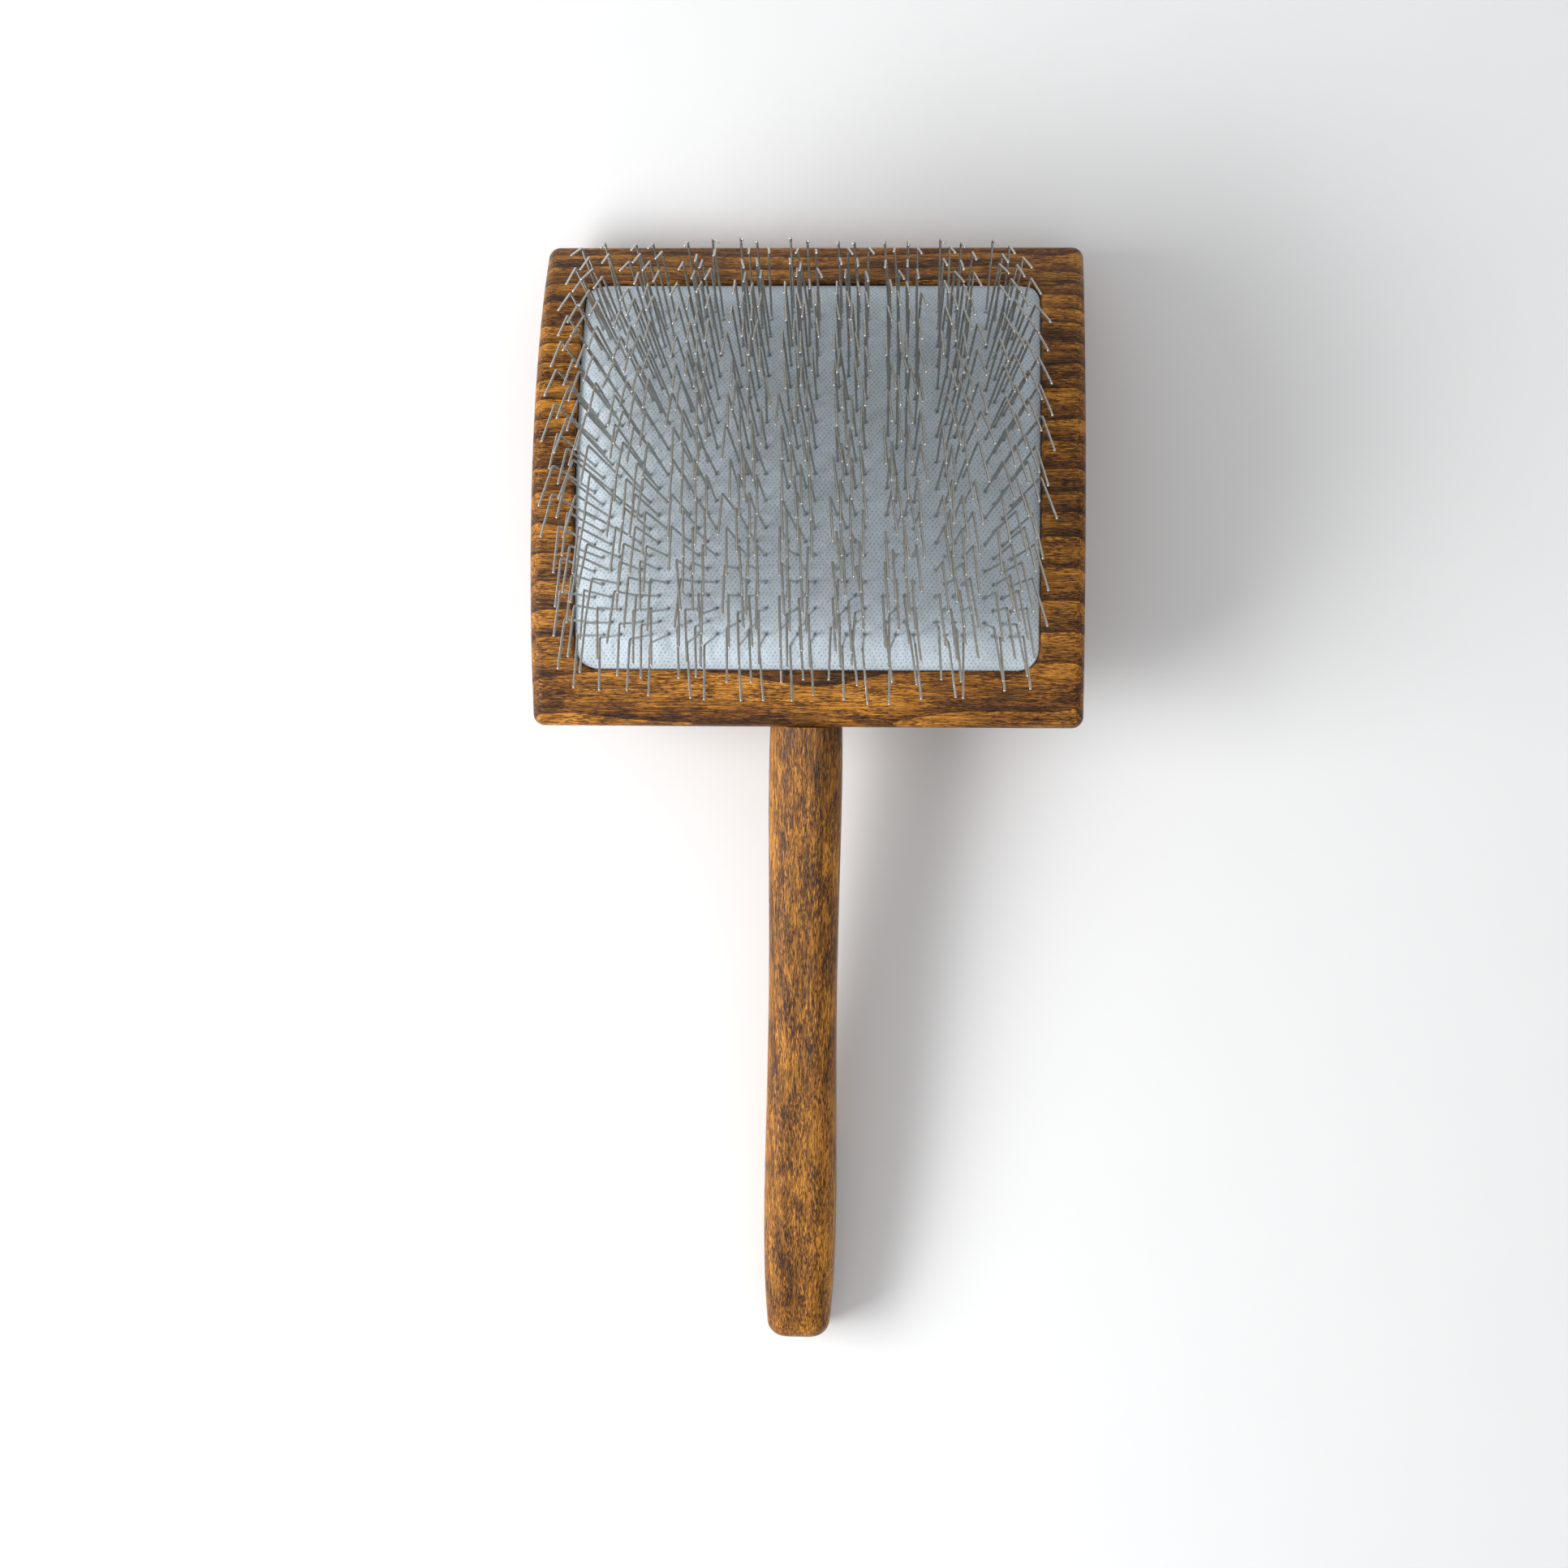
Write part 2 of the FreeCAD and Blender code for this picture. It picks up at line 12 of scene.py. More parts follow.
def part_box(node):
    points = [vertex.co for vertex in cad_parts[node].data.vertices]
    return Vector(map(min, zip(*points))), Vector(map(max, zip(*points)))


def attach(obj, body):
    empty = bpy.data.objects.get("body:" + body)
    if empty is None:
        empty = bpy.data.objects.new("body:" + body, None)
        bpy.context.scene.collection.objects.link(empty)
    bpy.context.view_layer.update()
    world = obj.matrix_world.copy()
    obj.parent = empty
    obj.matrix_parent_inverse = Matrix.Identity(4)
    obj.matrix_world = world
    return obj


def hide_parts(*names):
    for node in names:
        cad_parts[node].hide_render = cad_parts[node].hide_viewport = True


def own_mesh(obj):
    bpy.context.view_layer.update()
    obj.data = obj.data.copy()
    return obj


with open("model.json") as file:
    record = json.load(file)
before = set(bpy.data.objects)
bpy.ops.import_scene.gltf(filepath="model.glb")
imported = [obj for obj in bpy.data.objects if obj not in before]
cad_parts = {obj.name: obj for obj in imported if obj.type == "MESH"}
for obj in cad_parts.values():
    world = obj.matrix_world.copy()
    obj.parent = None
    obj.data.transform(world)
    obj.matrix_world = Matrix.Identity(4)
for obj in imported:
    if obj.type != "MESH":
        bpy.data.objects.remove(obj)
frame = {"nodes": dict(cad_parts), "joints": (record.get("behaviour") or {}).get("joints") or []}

# Looks of a wooden slicker brush that lies on its back with its pins up.
# Metres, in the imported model's frame: +X across the head, +Y towards the head's top, +Z up.
# The card and its cushion are worked out in the head's own frame: its origin is the middle
# of the arch's crest line, and its Z is the way the card is pressed in.

MM = 0.001
PRESS = frame["joints"][0]
WIRE_ROWS = sorted(name for name in frame["nodes"] if name.startswith("wire_row"))

CREST_FROM_SHOULDER = 55.718 * MM
CREST_BELOW_TOP = 1.648 * MM

CARD_CORNER = 3.9 * MM
EDGE_CLEARANCE = 0.02 * MM
EDGE_OVERHANG = 0.48 * MM
RIM_STEPS = 6

FACING_STEP = 0.42 * MM
FACING_ROLL = 0.55 * MM
HIDDEN_STEP = 2 * MM
PLY_ROLL = 0.2 * MM
FOAM_ROLL = 1.2 * MM

SHORTEST_LEG = 12 * MM
PIN_REACH = 0.6 * MM
LEG_SAMPLE = 0.25
DENT_DEPTH_MM = 0.20
DENT_REACH_MM = 0.40
# how far the painted shade round each pin hole reaches
HOLE_SHADE_REACH_MM = 0.38

FLOOR_HALF = 3.0

CAMERA_TARGET = (-4.361 * MM, -67.992 * MM)
CAMERA_DISTANCE = 730.16 * MM
CAMERA_TILT_RIGHT = 3.008
CAMERA_TILT_DOWN = 1.322
CAMERA_ROLL = 0.466
CAMERA_LENS = 80.472


# ---------------------------------------------------------------- the head's frame


def head_frame():
    """The crest line's middle and the card's directions, as a matrix from the head's frame."""
    low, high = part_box("head_block")
    crest = Vector(((low.x + high.x) / 2, low.y + CREST_FROM_SHOULDER, high.z - CREST_BELOW_TOP))
    up = Vector(PRESS["axis"]).normalized()
    along = up.cross(Vector((1, 0, 0))).normalized()
    turned = Matrix((Vector((1, 0, 0)), along, up)).transposed().to_4x4()
    return Matrix.Translation(crest) @ turned


HEAD = head_frame()
HEAD_TILT = math.atan2(HEAD[1][2], HEAD[2][2])


def node_points(name):
    """A CAD node's corners in the head's frame."""
    mesh = frame["nodes"][name].data
    points = np.zeros(len(mesh.vertices) * 3, np.float32)
    mesh.vertices.foreach_get("co", points)
    points = points.reshape(-1, 3).astype(float)
    inverse = np.array(HEAD.inverted())
    return points @ inverse[:3, :3].T + inverse[:3, 3]


def half_sizes(name):
    """Half of a ply's width and length."""
    points = node_points(name)
    return np.abs(points[:, 0]).max(), np.abs(points[:, 1]).max()


class Skin:
    """The upper and lower faces of a CAD ply, as heights in the head's frame."""

    REACH = 60 * MM

    def __init__(self, name):
        node = frame["nodes"][name]
        mesh = node.data.copy()
        mesh.transform(HEAD.inverted())
        work = bmesh.new()
        work.from_mesh(mesh)
        self.tree = BVHTree.FromBMesh(work)
        work.free()
        bpy.data.meshes.remove(mesh)
        self.half_x, self.half_y = half_sizes(name)

    def inside(self, x, y):
        """The point, drawn in a little where it lies on or past the ply's edge."""
        limit_x = self.half_x - EDGE_CLEARANCE
        limit_y = self.half_y - EDGE_CLEARANCE
        x, y = max(-limit_x, min(limit_x, x)), max(-limit_y, min(limit_y, y))
        radius = CARD_CORNER - EDGE_CLEARANCE
        past_x, past_y = abs(x) - (limit_x - radius), abs(y) - (limit_y - radius)
        if past_x > 0 and past_y > 0:
            reach = math.hypot(past_x, past_y)
            if reach > radius:
                x = math.copysign(limit_x - radius + past_x * radius / reach, x)
                y = math.copysign(limit_y - radius + past_y * radius / reach, y)
        return x, y

    def height(self, x, y, side=1):
        x, y = self.inside(x, y)
        hit = self.tree.ray_cast(Vector((x, y, side * self.REACH)), Vector((0, 0, -side)))[0]
        return hit.z


# ---------------------------------------------------------------- pads and plies


def rounded_rows(half_x, half_y, corner, step):
    """Points over a rounded rectangle: rows along Y, each with the same number of columns."""
    columns = max(3, round(2 * half_x / step)) + 1
    rows = max(3, round(2 * half_y / step)) + 1
    y = np.linspace(-half_y, half_y, rows)
    past = np.clip(np.abs(y) - (half_y - corner), 0, corner)
    reach = half_x - corner + np.sqrt(corner**2 - past**2)
    u = np.linspace(-1, 1, columns)
    return np.stack([u[None, :] * reach[:, None], np.repeat(y[:, None], columns, 1)], 2)


def rim(rows, columns):
    """Indices of a grid's border, once round."""
    bottom = [(0, c) for c in range(columns)]
    right = [(r, columns - 1) for r in range(1, rows)]
    top = [(rows - 1, c) for c in range(columns - 2, -1, -1)]
    left = [(r, 0) for r in range(rows - 2, 0, -1)]
    return [r * columns + c for r, c in bottom + right + top + left]


def outward(points, half_x, half_y, corner):
    """Directions away from a rounded rectangle at points of its border."""
    core = np.stack(
        [
            np.clip(points[:, 0], corner - half_x, half_x - corner),
            np.clip(points[:, 1], corner - half_y, half_y - corner),
        ],
        1,
    )
    away = points - core
    return away / np.maximum(np.linalg.norm(away, axis=1, keepdims=True), 1e-9)


def grid_quads(rows, columns, start):
    """Faces of a pad's upper grid, and of its lower grid that begins at start."""
    quads = []
    for r in range(rows - 1):
        for c in range(columns - 1):
            a = r * columns + c
            quads.append((a, a + 1, a + columns + 1, a + columns))
            quads.append((start + a, start + a + columns, start + a + columns + 1, start + a + 1))
    return quads


def band_quads(loops):
    """Faces between each loop of corners and the next one down."""
    quads = []
    for upper, lower in zip(loops, loops[1:]):
        for i in range(len(upper)):
            j = (i + 1) % len(upper)
            quads.append((upper[j], upper[i], lower[i], lower[j]))
    return quads


def pad(name, node, material, step, roll, inset=0.0, shape=None):
    """A closed pad in the place of a CAD ply: its upper and lower faces, with rolled edges."""
    skin = Skin(node)
    half_x, half_y = skin.half_x - inset, skin.half_y - inset
    flat_x, flat_y, corner = half_x - roll, half_y - roll, CARD_CORNER - inset
    grid = rounded_rows(flat_x, flat_y, corner - roll, step)
    rows, columns = grid.shape[:2]
    flat = grid.reshape(-1, 2)
    top = np.array([skin.height(x, y) for x, y in flat])
    base = np.array([skin.height(x, y, -1) for x, y in flat])
    if shape is not None:
        top = top + shape(flat)
    border = rim(rows, columns)
    edge = flat[border]
    away = outward(edge, flat_x, flat_y, corner - roll)
    count, ring = len(flat), len(border)
    points = [np.column_stack([flat, top])]
    for k in range(1, RIM_STEPS + 1):
        turn = math.pi / 2 * k / RIM_STEPS
        out = edge + away * roll * math.sin(turn)
        down = top[border] - roll * (1 - math.cos(turn))
        points.append(np.column_stack([out, down]))
    foot = np.minimum(base[border], top[border] - roll)
    points.append(np.column_stack([edge + away * roll, foot]))
    points.append(np.column_stack([flat, base]))
    start = count + (RIM_STEPS + 1) * ring
    rings = [[count + k * ring + i for i in range(ring)] for k in range(RIM_STEPS + 1)]
    loops = [border, *rings, [start + i for i in border]]
    mesh = bpy.data.meshes.new(name)
    quads = grid_quads(rows, columns, start) + band_quads(loops)
    mesh.from_pydata(np.vstack(points).tolist(), [], quads)
    mesh.transform(HEAD)
    mesh.shade_smooth()
    mesh.materials.append(material)
    made = bpy.data.objects.new(name, mesh)
    bpy.context.scene.collection.objects.link(made)
    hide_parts(node)
    return made


# ---------------------------------------------------------------- the pins' places


def pins_through(skin):
    """Where each pin's leg comes through the cloth, in the head's frame."""
    found = []
    for name in WIRE_ROWS:
        mesh = frame["nodes"][name].data
        points = node_points(name)
        ends = np.zeros(len(mesh.edges) * 2, np.int32)
        mesh.edges.foreach_get("vertices", ends)
        low, high = points[ends[0::2]], points[ends[1::2]]
        swap = low[:, 2] > high[:, 2]
        low[swap], high[swap] = high[swap].copy(), low[swap].copy()
        long = np.linalg.norm(high - low, axis=1) > SHORTEST_LEG
        hits = []
        for a, b in zip(low[long], high[long]):
            sample = a + (b - a) * LEG_SAMPLE
            z = skin.height(sample[0], sample[1])
            if a[2] < z < b[2]:
                share = (z - a[2]) / (b[2] - a[2])
                at = a + (b - a) * share
                hits.append(at[:2])
        found.extend(clusters(np.array(hits), PIN_REACH))
    return np.array(found)


def clusters(points, reach):
    """The middles of groups of points closer together than reach."""
    left = points
    middles = []
    while len(left):
        near = np.linalg.norm(left - left[0], axis=1) < reach
        middles.append(left[near].mean(0))
        left = left[~near]
    return middles


def nearest(pins, flat):
    """How far each point is from the nearest pin."""
    tree = KDTree(len(pins))
    for index, (x, y) in enumerate(pins):
        tree.insert((x, y, 0), index)
    tree.balance()
    return np.array([tree.find((x, y, 0))[2] for x, y in flat])


def pillowed(pins, settled):
    """The cloth's swellings and a dent round each pin, as a shape for pad()."""

    def shape(flat):
        away = nearest(pins, flat) / MM
        return settled.at(flat) - MM * DENT_DEPTH_MM * np.exp(-((away / DENT_REACH_MM) ** 2))

    return shape


class Settled:
    """Heights of a flat cloth that swells between its pins and its rim, by cloth simulation.

    The cloth is enlarged by SCALE, and gravity is turned upward to swell it.
    """

    SCALE = 20.0
    STEP = 0.9 * MM
    FRAMES = 24
    SLACK = 0.012
    BENDING = 0.6
    QUALITY = 4

    def __init__(self, half_x, half_y, pins):
        self.x = np.linspace(-half_x, half_x, round(2 * half_x / self.STEP) + 1)
        self.y = np.linspace(-half_y, half_y, round(2 * half_y / self.STEP) + 1)
        self.heights = np.zeros((len(self.y), len(self.x)))
        self.simulate(pins)

    def simulate(self, pins):
        scene = bpy.context.scene
        sheet = self.sheet(pins)
        scene.collection.objects.link(sheet)
        resting = scene.gravity.copy()
        scene.gravity = -resting
        for frame_number in range(1, self.FRAMES + 1):
            scene.frame_set(frame_number)
        swollen = sheet.evaluated_get(bpy.context.evaluated_depsgraph_get()).data
        points = np.zeros(len(swollen.vertices) * 3)
        swollen.vertices.foreach_get("co", points)
        self.heights = points[2::3].reshape(self.heights.shape) / self.SCALE
        scene.frame_set(1)
        scene.gravity = resting
        flat = sheet.data
        bpy.data.objects.remove(sheet)
        bpy.data.meshes.remove(flat)

    def sheet(self, pins):
        """The flat cloth, enlarged, held at its rim and at every pin."""
        rows, columns = self.heights.shape
        flat = np.stack(np.meshgrid(self.x, self.y), 2).reshape(-1, 2)
        points = np.column_stack([flat, np.zeros(len(flat))]) * self.SCALE
        lower = [r * columns + c for r in range(rows - 1) for c in range(columns - 1)]
        quads = [(i, i + 1, i + columns + 1, i + columns) for i in lower]
        mesh = bpy.data.meshes.new("swelling_cloth")
        mesh.from_pydata(points.tolist(), [], quads)
        sheet = bpy.data.objects.new("swelling_cloth", mesh)
        nearest_corner = [int(np.argmin(((flat - pin) ** 2).sum(1))) for pin in pins]
        held = sheet.vertex_groups.new(name="held")
        held.add(rim(rows, columns) + nearest_corner, 1.0, "REPLACE")
        cloth = sheet.modifiers.new("cloth", "CLOTH")
        cloth.point_cache.frame_end = self.FRAMES
        cloth.settings.vertex_group_mass = held.name
        cloth.settings.quality = self.QUALITY
        cloth.settings.bending_stiffness = self.BENDING
        cloth.settings.shrink_min = -self.SLACK
        return sheet

    def at(self, flat):
        """Heights at points, straight between the grid's corners."""
        u = (flat[:, 0] - self.x[0]) / (self.x[1] - self.x[0])
        v = (flat[:, 1] - self.y[0]) / (self.y[1] - self.y[0])
        i = np.clip(u.astype(int), 0, len(self.x) - 2)
        j = np.clip(v.astype(int), 0, len(self.y) - 2)
        s, t = np.clip(u - i, 0, 1), np.clip(v - j, 0, 1)
        low = self.heights[j, i] * (1 - s) + self.heights[j, i + 1] * s
        high = self.heights[j + 1, i] * (1 - s) + self.heights[j + 1, i + 1] * s
        return low * (1 - t) + high * t


def paint_hole_shade(piece, pins):
    """How dark the cloth is painted at each corner, as painted shade in the pin holes: 1 beside a
    pin, 0 elsewhere.
    """
    points = np.zeros(len(piece.data.vertices) * 3)
    piece.data.vertices.foreach_get("co", points)
    inverse = np.array(HEAD.inverted())
    flat = points.reshape(-1, 3) @ inverse[:2, :3].T + inverse[:2, 3]
    away = nearest(pins, flat) / MM
    hole_shade_layer = piece.data.attributes.new("painted_hole_shade", "FLOAT", "POINT")
    hole_shade_layer.data.foreach_set("value", np.exp(-((away / HOLE_SHADE_REACH_MM) ** 4)))


# ---------------------------------------------------------------- materials


class Recipe:
    """A material's node tree, with its Principled shader and short ways to add nodes."""

    def __init__(self, name, **settings):
        self.material = bpy.data.materials.new(name)
        self.material.use_nodes = True
        self.tree = self.material.node_tree
        self.shader = self.tree.nodes["Principled BSDF"]
        for key, value in settings.items():
            self.shader.inputs[key.replace("_", " ")].default_value = value

    def add(self, kind, inputs=None, **settings):
        node = self.tree.nodes.new("ShaderNode" + kind)
        for key, value in settings.items():
            setattr(node, key, value)
        for key, value in (inputs or {}).items():
            self.join(value, node.inputs[key])
        return node

    def join(self, value, socket):
        if isinstance(value, bpy.types.NodeSocket):
            self.tree.links.new(value, socket)
        else:
            socket.default_value = value

    def place(self, turn=(0, 0, 0), scale=(1, 1, 1), start=None):
        """Millimetres along the given directions, stretched by scale."""
        coords = start or self.add("TexCoord").outputs["Object"]
        size = 1 / MM if start is None else 1
        node = self.add("Mapping", {"Vector": coords, "Rotation": turn})
        node.inputs["Scale"].default_value = tuple(s * size for s in scale)
        return node.outputs["Vector"]

    def noise(self, vector, scale=1.0, detail=3.0, rough=0.55, warp=0.0):
        inputs = {"Vector": vector, "Scale": scale, "Detail": detail}
        node = self.add("TexNoise", {**inputs, "Roughness": rough, "Distortion": warp})
        return node.outputs["Fac"]

    def math(self, operation, a, b=0.0, clamp=False):
        return self.add("Math", {0: a, 1: b}, operation=operation, use_clamp=clamp).outputs[0]

    def blend(self, factor, a, b):
        node = self.add("Mix", {0: factor, 6: a, 7: b}, data_type="RGBA")
        return node.outputs[2]

    def darken(self, factor, a, b):
        node = self.add("Mix", {0: factor, 6: a, 7: b}, data_type="RGBA", blend_type="MULTIPLY")
        return node.outputs[2]

    def spread(self, value, low, high, to_low=0.0, to_high=1.0):
        inputs = {"Value": value, 1: low, 2: high, 3: to_low, 4: to_high}
        return self.add("MapRange", inputs).outputs[0]

    def ramp(self, value, stops):
        node = self.add("ValToRGB", {"Fac": value})
        band = node.color_ramp
        while len(band.elements) < len(stops):
            band.elements.new(1.0)
        for element, (position, colour) in zip(band.elements, stops):
            element.position = position
            element.color = (*colour, 1)
        return node.outputs["Color"]

    def bump(self, height, distance, strength=1.0, under=None):
        inputs = {"Height": height, "Distance": distance, "Strength": strength}
        if under is not None:
            inputs["Normal"] = under
        return self.add("Bump", inputs).outputs["Normal"]

    def finish(self, **sockets):
        for key, value in sockets.items():
            self.join(value, self.shader.inputs[key.replace("_", " ")])
        return self.material


STAINED = [
    (0.15, (0.042, 0.015, 0.002)),
    (0.42, (0.170, 0.062, 0.006)),
    (0.62, (0.38, 0.146, 0.013)),
    (0.88, (0.70, 0.30, 0.036)),
]


def wood(name, turn, layers, thickness, late):
    """Stained hardwood, oiled and worn. The grain runs along the turned X axis.

    layers is the direction across the growth rings, thickness is a ring's in millimetres,
    and late is how dark each ring's late wood is.
    """
    made = Recipe(name, Specular_IOR_Level=0.2)
    grain = made.place(turn)

    def speckle(scale, **settings):
        return made.noise(made.place(scale=scale, start=grain), **settings)

    streak = made.spread(speckle((0.11, 1.8, 1.8), detail=4, rough=0.62), 0.36, 0.64)
    fibre = made.spread(speckle((0.38, 5.0, 5.0), detail=3, rough=0.65), 0.36, 0.64)
    cloud = made.spread(speckle((0.05, 0.14, 0.14), detail=3, warp=0.5), 0.36, 0.64)
    cluster = speckle((0.11, 0.32, 0.32), detail=3, rough=0.6)
    specks = speckle((0.70, 4.8, 4.8), detail=2)
    fleck = made.math("ADD", specks, made.math("MULTIPLY", cluster, 0.55))
    wander = speckle((0.012, 0.05, 0.05), detail=2)
    depth = made.add("VectorMath", {0: grain, 1: layers}, operation="DOT_PRODUCT").outputs["Value"]
    layer = made.math("DIVIDE", depth, thickness)
    layer = made.math("ADD", layer, made.math("MULTIPLY", wander, 2.6))
    ring = made.math("FRACT", layer)
    tone = made.math("MULTIPLY", streak, 0.34)
    tone = made.math("ADD", tone, made.math("MULTIPLY", fibre, 0.36))
    tone = made.math("ADD", tone, made.math("MULTIPLY", cloud, 0.26))
    tone = made.math("ADD", tone, made.spread(ring, 0.0, 1.0, late * 0.3, 0.0))
    tone = made.math("ADD", tone, 0.10 - late * 0.19)
    colour = made.ramp(tone, STAINED)
    colour = made.darken(made.spread(ring, 0.55, 1.0, 0, late), colour, (0.36, 0.28, 0.22, 1))
    colour = made.darken(made.spread(fleck, 0.78, 0.85, 0, 0.92), colour, (0.20, 0.15, 0.12, 1))
    normal = made.bump(fibre, 0.07 * MM, 0.7)
    normal = made.bump(fleck, 0.10 * MM, 0.6, normal)
    rough = made.spread(fibre, 0, 1, 0.26, 0.42)
    return made.finish(Base_Color=colour, Roughness=rough, Normal=normal)


def head_wood():
    return wood("head_wood", (HEAD_TILT, 0, 0), (0.02, -0.93, 0.36), 5.0, 0.8)


def handle_wood():
    along = math.radians(90)
    return wood("handle_wood", (0, 0, along), (0.06, 0.62, 0.7), 5.5, 0.25)


def steel():
    """Drawn steel wire, dulled by use."""
    made = Recipe("pin_wire", Metallic=1.0)
    smear = made.noise(made.place(), scale=0.5, detail=2)
    colour = made.blend(smear, (0.40, 0.385, 0.35, 1), (0.54, 0.52, 0.475, 1))
    return made.finish(Base_Color=colour, Roughness=made.spread(smear, 0.3, 0.7, 0.18, 0.30))


def weave(made, place, pitch):
    """Staggered dots of a plain weave, 0 in the hollows and 1 on the threads."""
    split = made.add("SeparateXYZ", {"Vector": place})
    turn = 2 * math.pi / pitch
    wave_x = made.math("COSINE", made.math("MULTIPLY", split.outputs[0], turn))
    wave_y = made.math("COSINE", made.math("MULTIPLY", split.outputs[1], turn * 0.78))
    both = made.math("MULTIPLY", wave_x, wave_y)
    return made.spread(both, -1, 1)


def cloth(name, light, dark, pitch, grime):
    """Fine woven cotton with a little dirt worked into it, and painted shade in the pin holes."""
    made = Recipe(
        name, Roughness=0.85, Sheen_Weight=0.1, Sheen_Roughness=0.4, Specular_IOR_Level=0.2
    )
    place = made.place((HEAD_TILT, 0, 0))
    wobble = made.noise(place, scale=0.8, detail=2)
    shifted = made.add("VectorMath", {0: place, 1: wobble}, operation="ADD").outputs["Vector"]
    threads = weave(made, shifted, pitch)
    smudge = made.noise(place, scale=0.09, detail=4, rough=0.65)
    colour = made.blend(made.spread(threads, 0.0, 0.35), dark, light)
    colour = made.darken(made.spread(smudge, 0.42, 0.75, 0, grime), colour, (0.62, 0.6, 0.57, 1))
    # painted shade: the cloth is darkened round each pin, where its hole would be in shade
    painted_hole_shade = made.add("Attribute", attribute_name="painted_hole_shade").outputs["Fac"]
    colour = made.darken(painted_hole_shade, colour, (0.22, 0.23, 0.24, 1))
    normal = made.bump(threads, 0.06 * MM, 0.6)
    return made.finish(Base_Color=colour, Normal=normal)


def rubber():
    """Natural rubber between the card's two cloths."""
    made = Recipe("card_rubber", Roughness=0.7)
    specks = made.noise(made.place(), scale=1.6, detail=3)
    colour = made.blend(specks, (0.42, 0.35, 0.27, 1), (0.56, 0.49, 0.40, 1))
    return made.finish(Base_Color=colour, Normal=made.bump(specks, 0.05 * MM, 0.5))


def foam():
    """Open-cell foam, all small holes."""
    made = Recipe("foam", Roughness=0.95)
    cells = made.add("TexVoronoi", {"Vector": made.place(), "Scale": 1.1}).outputs["Distance"]
    open_cells = made.spread(cells, 0.05, 0.5)
    colour = made.blend(open_cells, (0.50, 0.46, 0.36, 1), (0.80, 0.76, 0.66, 1))
    return made.finish(Base_Color=colour, Normal=made.bump(cells, 0.3 * MM, 0.8))


def paint_node(name, material):
    """A CAD node keeps its mesh and gets this material."""
    data = frame["nodes"][name].data
    data.materials.clear()
    data.materials.append(material)


# ---------------------------------------------------------------- the object


def make_facing():
    look = cloth("facing_cloth", (0.56, 0.632, 0.692, 1), (0.27, 0.335, 0.395, 1), 0.92, 0.5)
    skin = Skin("card_facing")
    pins = pins_through(skin)
    shape = pillowed(pins, Settled(skin.half_x, skin.half_y, pins))
    sizes = (FACING_STEP, FACING_ROLL, -EDGE_OVERHANG)
    facing = pad("facing_cloth", "card_facing", look, *sizes, shape)
    # paints the shade of the pin holes into the cloth's colour
    paint_hole_shade(facing, pins)
    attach(facing, "card")


def make_plies():
    core = pad("rubber_core", "card_core", rubber(), HIDDEN_STEP, PLY_ROLL)
    back_look = cloth("backing_cloth", (0.62, 0.58, 0.50, 1), (0.48, 0.45, 0.38, 1), 0.8, 0.4)
    backing = pad("backing_cloth", "card_backing", back_look, HIDDEN_STEP, PLY_ROLL)
    for piece, slot in ((core, "card_rubber"), (backing, "backing_cloth")):
        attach(piece, "card")


def make_cushion():
    cushion = pad("foam_pad", "foam_cushion", foam(), HIDDEN_STEP, FOAM_ROLL)
    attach(cushion, "brush")
    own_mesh(cushion)


def make_brush():
    paint_node("head_block", head_wood())
    paint_node("handle", handle_wood())
    wire = steel()
    for name in WIRE_ROWS:
        paint_node(name, wire)
    make_facing()
    make_plies()
    make_cushion()


# ---------------------------------------------------------------- floor, light and camera


def make_floor():
    mesh = bpy.data.meshes.new("floor")
    ends = (-FLOOR_HALF, FLOOR_HALF)
    mesh.from_pydata([(x, y, 0) for y in ends for x in ends], [], [(0, 1, 3, 2)])
    floor = bpy.data.objects.new("floor", mesh)
    bpy.context.scene.collection.objects.link(floor)
    made = Recipe("floor", Roughness=0.9, Specular_IOR_Level=0.1)
    grain = made.noise(made.place(), scale=0.05)
    pale = made.blend(grain, (0.93, 0.93, 0.93, 1), (0.95, 0.95, 0.95, 1))
    mesh.materials.append(made.finish(Base_Color=pale))


def area_light(name, place, aim, size, power):
    data = bpy.data.lights.new(name, "AREA")
    data.shape = "RECTANGLE"
    data.size, data.size_y = size
    data.energy = power
    lamp = bpy.data.objects.new(name, data)
    lamp.location = place
    lamp.rotation_euler = (Vector(aim) - Vector(place)).to_track_quat("-Z", "Y").to_euler()
    bpy.context.scene.collection.objects.link(lamp)
    return lamp


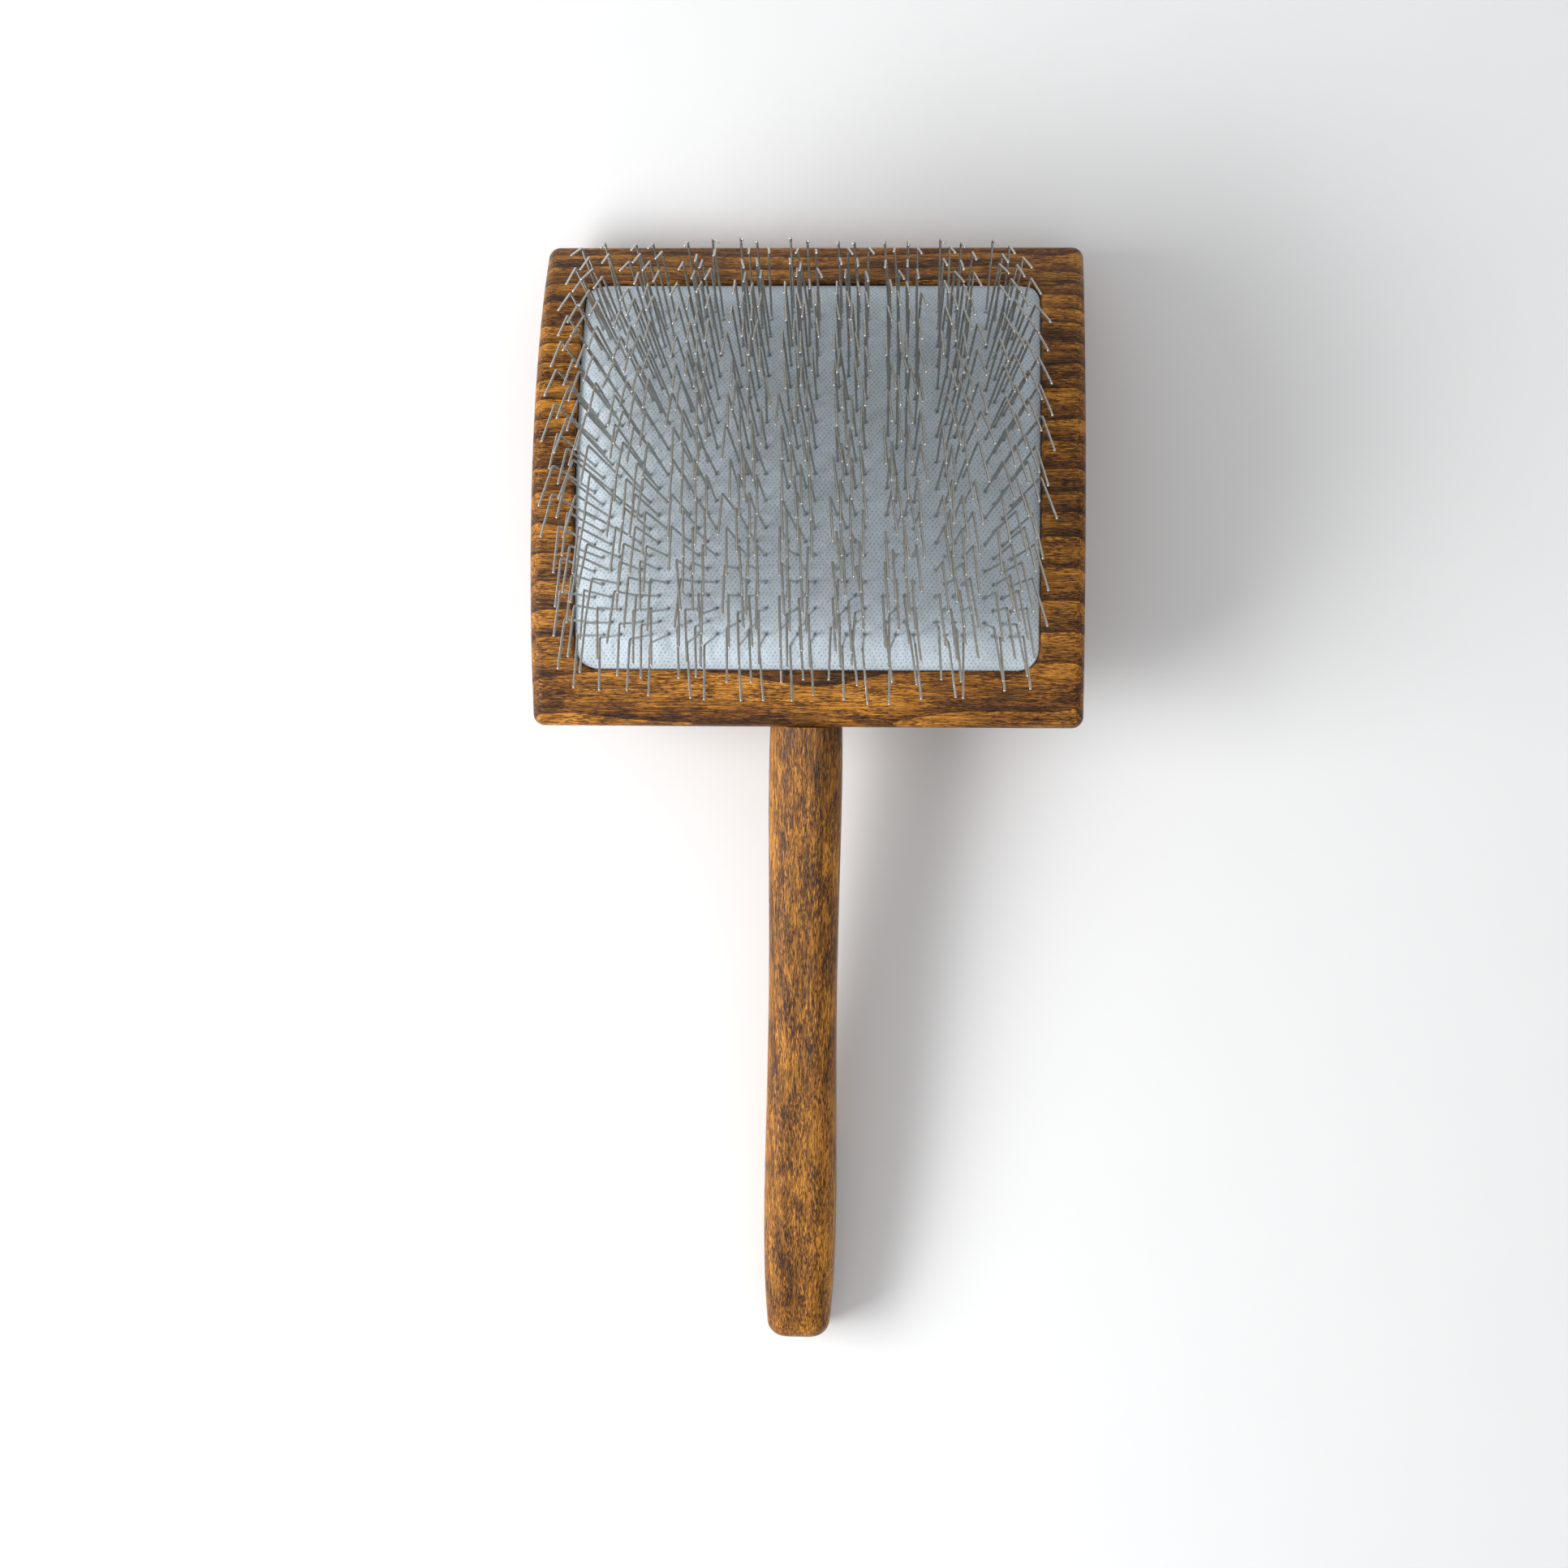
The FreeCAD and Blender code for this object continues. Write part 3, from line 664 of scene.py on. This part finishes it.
def make_light():
    """A key lamp on the left, a weak one in front, and a strip seen in reflections only."""
    middle = HEAD.translation
    area_light("key", middle + Vector((-0.53, -0.21, 0.34)), middle, (0.55, 0.28), 5.0)
    area_light("front", middle + Vector((-0.05, -0.95, 0.16)), middle, (0.6, 0.2), 0.4)
    sheen_aim = middle + Vector((0, -0.1, 0))
    sheen = area_light("sheen", sheen_aim + Vector((-0.36, 0, 0.85)), sheen_aim, (0.12, 0.9), 5.0)
    sheen.visible_diffuse = False


def make_sky():
    """A soft grey studio, paler towards the horizon."""
    world = bpy.data.worlds.new("studio")
    world.use_nodes = True
    nodes, links = world.node_tree.nodes, world.node_tree.links
    split = nodes.new("ShaderNodeSeparateXYZ")
    links.new(nodes.new("ShaderNodeTexCoord").outputs["Generated"], split.inputs[0])
    sky = nodes.new("ShaderNodeValToRGB")
    links.new(split.outputs["Z"], sky.inputs["Fac"])
    sky.color_ramp.elements[0].color = (0.84, 0.84, 0.84, 1)
    sky.color_ramp.elements[1].color = (0.42, 0.43, 0.44, 1)
    links.new(sky.outputs["Color"], nodes["Background"].inputs["Color"])
    bpy.context.scene.world = world
    bpy.context.scene.view_settings.view_transform = "Standard"


def make_camera():
    """Almost straight above the brush, a little to its right and towards its handle."""
    back = Vector(
        (math.tan(math.radians(CAMERA_TILT_RIGHT)), -math.tan(math.radians(CAMERA_TILT_DOWN)), 1)
    ).normalized()
    up = (Vector((0, 1, 0)) - back * back.y).normalized()
    right = up.cross(back)
    roll = math.radians(CAMERA_ROLL)
    side = right * math.cos(roll) + up * math.sin(roll)
    top = up * math.cos(roll) - right * math.sin(roll)
    target = HEAD.translation + Vector((*CAMERA_TARGET, 0))
    data = bpy.data.cameras.new("camera")
    data.lens = CAMERA_LENS
    data.sensor_width = 36
    camera = bpy.data.objects.new("camera", data)
    turned = Matrix((side, top, back)).transposed().to_4x4()
    camera.matrix_world = Matrix.Translation(target + back * CAMERA_DISTANCE) @ turned
    bpy.context.scene.collection.objects.link(camera)
    bpy.context.scene.camera = camera


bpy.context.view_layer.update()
make_brush()
make_floor()
make_light()
make_sky()
make_camera()
